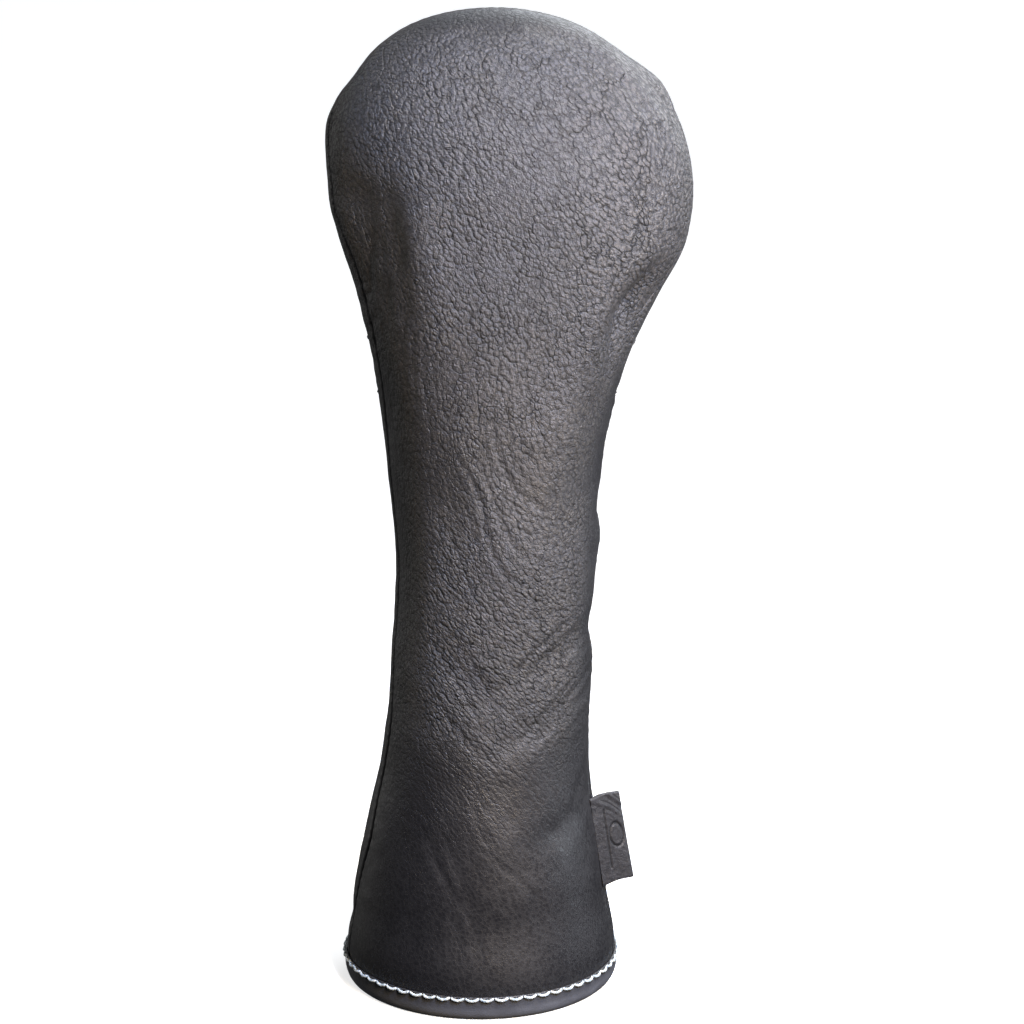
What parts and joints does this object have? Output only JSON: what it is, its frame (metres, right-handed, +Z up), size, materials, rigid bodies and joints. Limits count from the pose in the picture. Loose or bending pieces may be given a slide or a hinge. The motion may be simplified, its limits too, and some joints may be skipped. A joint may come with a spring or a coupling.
{
  "type": "driver head cover",
  "caption": "Leather golf driver head cover: rounded padded head over a slim sleeve, elastic at the back of the neck, fleece lining, bound mouth with contrast stitching and a side tab.",
  "frame": {"origin": "on the surface that the mouth stands on, below the middle of the head", "axes": "+Z up from the mouth to the crown, -Y out of the front panel, +X towards the seam with the tab"},
  "size_m": [0.1326, 0.101, 0.368],
  "materials": {
    "panel_leather": "milled full-grain leather with a pebble grain, satin",
    "binding_leather": "smooth leather, satin",
    "tab_leather": "fine-grain leather with a pressed ring, satin",
    "white_thread": "waxed thick thread",
    "black_thread": "bonded sewing thread",
    "lining_thread": "spun sewing thread",
    "foam": "open-cell foam sheet, matte",
    "elastic": "woven ribbed elastic",
    "fleece": "short-pile fleece, matte"
  },
  "bodies": {
    "cover": {"front_panel": "panel_leather", "back_panel": "panel_leather", "hem_binding": "binding_leather", "hem_stitches": "white_thread", "left_seam_stitches": "black_thread", "right_seam_stitches": "black_thread", "front_head_foam": "foam", "back_head_foam": "foam", "neck_elastic": "elastic", "elastic_stitches": "black_thread", "front_lining": "fleece", "back_lining": "fleece", "lining_seam_stitches": "lining_thread", "tab_anchor": "tab_leather"},
    "tab": {"side_tab": "tab_leather"}
  },
  "joints": [
    {"name": "tab_flex", "type": "hinge", "parent": "cover", "child": "tab", "pos_m": [0.03514, -0.00774, 0.05418], "axis": [-0.1508, 0.0242, 0.9883], "range_deg": [-75, 30], "stiffness_Nm_per_rad": 0.002}
  ]
}
